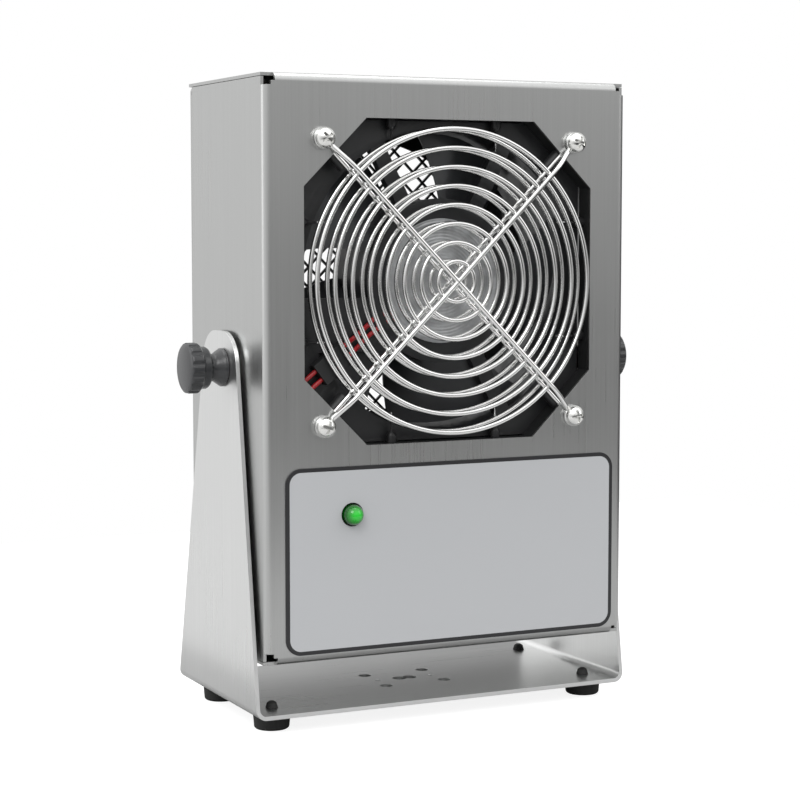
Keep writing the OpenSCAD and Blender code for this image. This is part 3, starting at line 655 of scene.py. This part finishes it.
def add_lamp(name, place, size, power, target):
    """A rectangular lamp that looks at a point."""
    light = bpy.data.lights.new(name, "AREA")
    light.shape = "RECTANGLE"
    light.size, light.size_y = size
    light.energy = power
    lamp = bpy.data.objects.new(name, light)
    bpy.context.scene.collection.objects.link(lamp)
    lamp.location = place
    lamp.rotation_euler = (target - lamp.location).to_track_quat("-Z", "Y").to_euler()


def add_camera():
    """The camera, a little above the fan and to its left."""
    lens = bpy.data.cameras.new("camera")
    lens.lens = LENS_MM
    lens.sensor_width = SENSOR_MM
    lens.clip_start = NEAREST
    camera = bpy.data.objects.new("camera", lens)
    bpy.context.scene.collection.objects.link(camera)
    camera.location = CAMERA_PLACE
    camera.rotation_euler = (math.radians(90) - CAMERA_DOWN, 0, CAMERA_TURN)
    bpy.context.scene.camera = camera


def floor_finish():
    """Pale floor, white where nothing shades it. Metal sees some of that white from afar."""
    shade = Shade("pale_floor")
    mirrored = shade.light_path("Is Glossy Ray") * (shade.light_path("Ray Length") > MIRRORED_FROM)
    seen = shade.light_path("Is Camera Ray") + mirrored * MIRRORED_GLOW
    return shade.set(
        base_color=shade.mix(shade.noise(30.0), (0.3, 0.3, 0.3), (0.32, 0.32, 0.32)),
        roughness=0.7,
        emission_color=shade.mix(seen, (0, 0, 0), (1, 1, 1)),
        emission_strength=FLOOR_GLOW,
    )


def studio_world():
    """Studio light: bright at the rear left and overhead, dim elsewhere; white to the camera."""
    world = bpy.data.worlds.new("studio")
    bpy.context.scene.world = world
    world.use_nodes = True
    sky = Nodes(world.node_tree)
    toward = sky.add("ShaderNodeTexCoord")
    height = sky.add("ShaderNodeSeparateXYZ", {}, (toward,), output=2)
    rear_left, rear_right = (
        sky.add("ShaderNodeVectorMath", {"operation": "DOT_PRODUCT"}, (toward, side), output=1)
        for side in (REAR_LEFT, REAR_RIGHT)
    )
    dim = sky.remap(height, -0.14, 0.08, 0.05, 0.66)
    level = sky.remap(rear_left, -0.1, 0.8, dim, 0.9) * sky.remap(rear_right, 0.5, 0.9, 1.0, 0.15)
    overhead = sky.remap(height, 0.1, 0.8, 0.0, 0.8)
    seen = sky.light_path("Is Camera Ray")
    strength = sky.add("ShaderNodeMix", {}, {0: seen, 2: level + overhead, 3: 1.0})
    background = world.node_tree.nodes["Background"]
    sky.feed(background.inputs["Strength"], strength)
    sky.feed(background.inputs["Color"], (1, 1, 1, 1))


class BLOWER_OT_stage(bpy.types.Operator):
    """Floor, lamps, world and camera"""

    bl_idname = "blower.stage"
    bl_label = "Stage"

    def execute(self, context):
        nothing_selected()
        bpy.ops.mesh.primitive_plane_add(size=FLOOR_SIZE, location=(0, 0, 0))
        floor = context.active_object
        floor.name = "floor"
        floor.data.materials.append(floor_finish())
        centre = (cad_box[0] + cad_box[1]) / 2
        for name, place, size, power in LAMPS:
            add_lamp(name, place, size, power, centre)
        studio_world()
        add_camera()
        context.scene.view_settings.view_transform = "Standard"
        return {"FINISHED"}


# ------------------------------------------------------------------ CAD nodes


class BLOWER_OT_finishes(bpy.types.Operator):
    """Finish of every CAD node"""

    bl_idname = "blower.finishes"
    bl_label = "Finishes"

    def execute(self, context):
        for node, item in frame["nodes"].items():
            material = finish(SLOT_OF[node])
            if not item.data.materials:
                item.data.materials.append(material)
            for place in item.material_slots:
                place.material = material
        return {"FINISHED"}


def dress(node, width):
    """A copy of a CAD node with its edges broken, which stands for the node."""
    piece = welded_copy(node)
    if width:
        soften(piece, width)
    smooth(piece)
    settle(piece, node + "_finished", BODY_OF[node], SLOT_OF[node], (node,))
    return piece


class BLOWER_OT_shells(bpy.types.Operator):
    """Sheet metal, mouldings and rubber with their edges broken"""

    bl_idname = "blower.shells"
    bl_label = "Shells"

    # node: width of its broken edges in mm
    edges = {
        "front_case": 0.2, "rear_cover": 0.2, "stand_bracket": 0.5, "front_label": 0.12,
        "air_duct": 0.3, "fan_frame": 0.4, "feet": 0.25, "fan_terminal": 0.25,
        "power_inlet": 0.25, "power_switch": 0.2, "switch_rocker": 0.2, "ground_jack": 0.25,
        "left_knob": 0.3, "right_knob": 0.3, "speed_knob": 0.12, "fan_impeller": 0.12,
        "fan_rotor": 0.2, "fan_leads": 0.0, "motor_label": 0.05, "arm_washers": 0.1,
        "speed_nut": 0.15, "ground_nut": 0.15, "grid_posts": 0.15, "emitter_points": 0.05,
    }

    def execute(self, context):
        for node, width in self.edges.items():
            piece = dress(node, width * MM)
            if node == "emitter_points":
                piece.material_slots[0].material = emitter_finish()
        return {"FINISHED"}


# ------------------------------------------------------------------ wire guard and grid

# how far a crossing wire is pressed into the rings, and the size of its bends
PRESSED = 0.4 * MM
BEND = 4 * MM
# a weld is a ball of the ring's wire size, squeezed by these
WELD_SHAPE = (0.62, 0.42, 0.62)
DIAGONALS = [math.radians(45 + 90 * quarter) for quarter in range(4)]


def outward(angle):
    """Direction from the fan axis, in the plane of the rings."""
    return Vector((math.cos(angle), 0, math.sin(angle)))


def wire_ring(place, radius, wire, around=144, across=14):
    """A ring of round wire that faces along Y."""
    bpy.ops.mesh.primitive_torus_add(
        major_radius=radius,
        minor_radius=wire / 2,
        major_segments=around,
        minor_segments=across,
        location=place,
        rotation=(math.radians(90), 0, 0),
    )
    return bpy.context.active_object


def rounded(points, radius, steps=8):
    """A path with its inner corners turned into smooth bends."""
    path = [points[0]]
    for before, corner, after in zip(points, points[1:], points[2:]):
        start = corner + (before - corner).normalized() * radius
        end = corner + (after - corner).normalized() * radius
        for step in range(steps + 1):
            t = step / steps
            path.append(start * (1 - t) ** 2 + corner * 2 * t * (1 - t) + end * t**2)
    return path + [points[-1]]


def wire_along(points, wire):
    """Round wire along a path."""
    bpy.ops.curve.primitive_nurbs_path_add()
    piece = bpy.context.active_object
    curve = piece.data
    curve.splines.clear()
    spline = curve.splines.new("POLY")
    spline.points.add(len(points) - 1)
    for place, point in zip(spline.points, points):
        place.co = (*point, 1)
    curve.dimensions = "3D"
    curve.bevel_depth = wire / 2
    curve.bevel_resolution = 4
    curve.use_fill_caps = True
    piece.location = (0, 0, 0)
    only(piece)
    bpy.ops.object.convert(target="MESH")
    return bpy.context.active_object


def crossed_wires(stops, wire, bend=0):
    """Two crossed wires. stops holds (distance from the axis, y) of each corner."""
    wires = []
    for angle in DIAGONALS[:2]:
        points = [FAN + outward(angle) * out + Vector((0, y, 0)) for out, y in stops]
        wires.append(wire_along(rounded(points, bend), wire))
    return wires


def ring_radii(guard):
    """Radii of the rings of one set, from the outermost inwards."""
    return [guard.ring_radius - step * guard.ring_pitch for step in range(guard.rings)]


def welded_rings(ring_y, wire_y, guard):
    """A set of rings and the squeezed spots where they are welded to the crossed wires."""
    parts = [
        wire_ring(FAN + Vector((0, ring_y, 0)), radius, guard.ring_wire)
        for radius in ring_radii(guard)
    ]
    for angle in DIAGONALS:
        for radius in ring_radii(guard):
            place = FAN + outward(angle) * radius + Vector((0, (ring_y + wire_y) / 2, 0))
            bpy.ops.mesh.primitive_uv_sphere_add(
                segments=12, ring_count=8, radius=guard.ring_wire, location=place
            )
            parts.append(bpy.context.active_object)
            parts[-1].scale = WELD_SHAPE
    return parts


class BLOWER_OT_guard(bpy.types.Operator):
    """Wire guard: rings welded behind two bent wires that end in eyes"""

    bl_idname = "blower.guard"
    bl_label = "Guard"

    def execute(self, context):
        guard = context.scene.blower_guard
        ring_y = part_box("finger_guard")[1].y - guard.ring_wire / 2
        wire_y = ring_y - (guard.ring_wire + guard.spoke_wire) / 2 + PRESSED
        hooks_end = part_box("guard_hooks")[1]
        eye_y = hooks_end.y - guard.spoke_wire / 2
        eye_radius = guard.screw_hole + guard.spoke_wire / 2
        eye_out = (hooks_end.x - eye_radius - guard.spoke_wire / 2) * math.sqrt(2)
        end_out = eye_out - eye_radius
        bend_out = guard.ring_radius + BEND
        stops = ((-end_out, eye_y), (-bend_out, wire_y), (bend_out, wire_y), (end_out, eye_y))
        parts = welded_rings(ring_y, wire_y, guard)
        parts += crossed_wires(stops, guard.spoke_wire, BEND)
        for angle in DIAGONALS:
            place = FAN + outward(angle) * eye_out + Vector((0, eye_y, 0))
            parts.append(wire_ring(place, eye_radius, guard.spoke_wire, around=40, across=12))
        piece = joined(parts)
        smooth(piece, 60)
        settle(piece, "guard_wires", "head", "guard_chrome", ("finger_guard", "guard_hooks"))
        return {"FINISHED"}


class BLOWER_OT_grid(bpy.types.Operator):
    """Sensor grid in the duct: rings welded to two crossed wires"""

    bl_idname = "blower.grid"
    bl_label = "Sensor grid"

    def execute(self, context):
        guard = context.scene.blower_guard
        low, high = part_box("sensor_grid")
        ring_y = high.y - guard.ring_wire / 2
        wire_y = low.y + guard.spoke_wire / 2
        reach = high.x * math.sqrt(2) - guard.spoke_wire / 2
        parts = welded_rings(ring_y, wire_y, guard)
        parts += crossed_wires(((-reach, wire_y), (reach, wire_y)), guard.spoke_wire)
        piece = joined(parts)
        smooth(piece, 60)
        settle(piece, "grid_wires", "head", "guard_chrome", ("sensor_grid",))
        return {"FINISHED"}


# ------------------------------------------------------------------ screws


def recess_cutter(place, turn, reach, width, depth):
    """Two crossed bars that cut the recess of a screw whose head faces along Y."""
    arms = []
    for quarter in (0, 90):
        bpy.ops.mesh.primitive_cube_add(size=1, location=(0, 0, 0))
        arm = bpy.context.active_object
        arm.scale = (reach * 2, depth * 2, width)
        bpy.ops.object.transform_apply(location=False, rotation=False, scale=True)
        arm.rotation_euler = (0, math.radians(turn + quarter), 0)
        arm.location = place
        arms.append(arm)
    return arms


class BLOWER_OT_screws(bpy.types.Operator):
    """Domed screws with cross recesses"""

    bl_idname = "blower.screws"
    bl_label = "Screws"

    # node: (side that the heads face along Y, reach, width and depth of the recess in mm)
    heads = {
        "guard_screws": (-1, 2.3, 1.0, 1.5),
        "cover_screws": (1, 1.6, 0.7, 0.9),
        "mesh_screws": (1, 1.6, 0.7, 0.9),
        "inlet_screws": (1, 1.6, 0.7, 0.9),
    }
    # each screw stopped at another angle, in degrees
    first_turn = 17
    next_turn = 31

    def execute(self, context):
        for node, (facing, *recess) in self.heads.items():
            welded_copy(node)
            bpy.ops.object.mode_set(mode="EDIT")
            bpy.ops.mesh.separate(type="LOOSE")
            bpy.ops.object.mode_set(mode="OBJECT")
            screws = list(context.selected_objects)
            for count, screw in enumerate(screws):
                corners = [Vector(corner) for corner in screw.bound_box]
                centre = sum(corners, Vector()) / len(corners)
                tip = max(corner.y * facing for corner in corners) * facing
                place = (centre.x, tip, centre.z)
                turn = self.first_turn + self.next_turn * count
                for arm in recess_cutter(place, turn, *(size * MM for size in recess)):
                    apply_modifier(
                        screw, "BOOLEAN", operation="DIFFERENCE", object=arm, solver="EXACT"
                    )
                    bpy.data.objects.remove(arm)
            piece = joined(screws)
            soften(piece, 0.08 * MM, 50)
            smooth(piece, 40)
            settle(piece, node + "_cut", "head", SLOT_OF[node], (node,))
        return {"FINISHED"}


# ------------------------------------------------------------------ printed marks

PAINT = 0.04 * MM


class BLOWER_OT_dial(bpy.types.Operator):
    """Marks and plain numbers round the speed knob"""

    bl_idname = "blower.dial"
    bl_label = "Speed marks"

    steps = 10
    mark_width = 0.45 * MM
    long_mark = 2.4 * MM
    short_mark = 1.5 * MM
    number_height = 3.4 * MM
    number_out = 4.6 * MM

    def turn(self, step):
        """The angle at which the knob points to a step, from straight up, in radians."""
        low, high = RANGE_OF["speed_turn"]
        return math.radians(low + (high - low) * step / self.steps)

    def place(self, turn, out):
        """A point on the cover, at a distance from the middle of the knob."""
        centre = middle("speed_knob")
        return centre.x - math.sin(turn) * out, BACK_Y + PAINT, centre.z + math.cos(turn) * out

    def execute(self, context):
        start = context.scene.blower_looks.mark_radius
        marks = []
        for step in range(self.steps + 1):
            turn = self.turn(step)
            tall = self.short_mark if step % 5 else self.long_mark
            bpy.ops.mesh.primitive_cube_add(size=1)
            mark = context.active_object
            mark.scale = (self.mark_width, PAINT * 2, tall)
            mark.rotation_euler = (0, -turn, 0)
            mark.location = self.place(turn, start + tall / 2)
            marks.append(mark)
        for step in (0, 5, 10):
            bpy.ops.object.text_add()
            number = context.active_object
            number.data.body = str(step)
            number.data.align_x = "CENTER"
            number.data.align_y = "CENTER"
            number.data.size = self.number_height
            number.data.extrude = PAINT
            number.rotation_euler = (math.radians(90), 0, math.radians(180))
            number.location = self.place(self.turn(step), start + self.number_out)
            only(number)
            bpy.ops.object.convert(target="MESH")
            marks.append(context.active_object)
        settle(joined(marks), "speed_marks", "head", "black_plastic")
        return {"FINISHED"}


def slope_of(node, side):
    """Centre and tilt about X of a node's upper rear slope, or of its lower one if side is -1."""
    faces = [
        face
        for face in frame["nodes"][node].data.polygons
        if face.normal.y > 0.9 and face.normal.z * side < 0
    ]
    whole = sum(face.area for face in faces)
    centre = sum((face.center * face.area for face in faces), Vector()) / whole
    return centre, math.atan2(faces[0].normal.z, faces[0].normal.y)


class BLOWER_OT_rocker_marks(bpy.types.Operator):
    """Bar and ring printed on the two ends of the power switch's rocker"""

    bl_idname = "blower.rocker_marks"
    bl_label = "Switch marks"

    thickness = 0.1 * MM
    line = 0.6 * MM
    bar_height = 2.8 * MM
    ring_radius = 1.3 * MM

    def execute(self, context):
        centre, tilt = slope_of("switch_rocker", 1)
        bpy.ops.mesh.primitive_cube_add(size=1, location=centre, rotation=(tilt, 0, 0))
        bar = context.active_object
        bar.scale = (self.line, self.thickness, self.bar_height)
        centre, tilt = slope_of("switch_rocker", -1)
        ring = wire_ring(centre, self.ring_radius, self.line, around=36, across=8)
        ring.rotation_euler.x += tilt
        ring.scale.z = self.thickness / self.line
        for mark in (bar, ring):
            only(mark)
            bpy.ops.object.transform_apply(location=True, rotation=True, scale=True)
        piece = joined([bar, ring])
        soften(piece, 0.02 * MM, 60, 1)
        settle(piece, "rocker_marks", "rocker", "washer_nylon")
        return {"FINISHED"}


# ------------------------------------------------------------------ sidebar and main

STEPS = (
    BLOWER_OT_stage,
    BLOWER_OT_finishes,
    BLOWER_OT_shells,
    BLOWER_OT_guard,
    BLOWER_OT_grid,
    BLOWER_OT_screws,
    BLOWER_OT_dial,
    BLOWER_OT_rocker_marks,
)
GROUPS = (BLOWER_PG_looks, BLOWER_PG_guard)


class BLOWER_PT_sidebar(bpy.types.Panel):
    """Steps that dress the blower"""

    bl_label = "Blower"
    bl_idname = "BLOWER_PT_sidebar"
    bl_space_type = "VIEW_3D"
    bl_region_type = "UI"
    bl_category = "Blower"

    def draw(self, context):
        for group in (context.scene.blower_looks, context.scene.blower_guard):
            for key in group.bl_rna.properties.keys():
                if key not in ("rna_type", "name"):
                    self.layout.prop(group, key)
        for step in STEPS:
            self.layout.operator(step.bl_idname)


def register():
    for item in (*GROUPS, *STEPS, BLOWER_PT_sidebar):
        bpy.utils.register_class(item)
    bpy.types.Scene.blower_looks = PointerProperty(type=BLOWER_PG_looks)
    bpy.types.Scene.blower_guard = PointerProperty(type=BLOWER_PG_guard)


def unregister():
    del bpy.types.Scene.blower_guard
    del bpy.types.Scene.blower_looks
    for item in reversed((*GROUPS, *STEPS, BLOWER_PT_sidebar)):
        bpy.utils.unregister_class(item)


def main():
    """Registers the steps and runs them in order."""
    register()
    for step in STEPS:
        group, name = step.bl_idname.split(".")
        getattr(getattr(bpy.ops, group), name)()


if __name__ == "__main__":
    main()
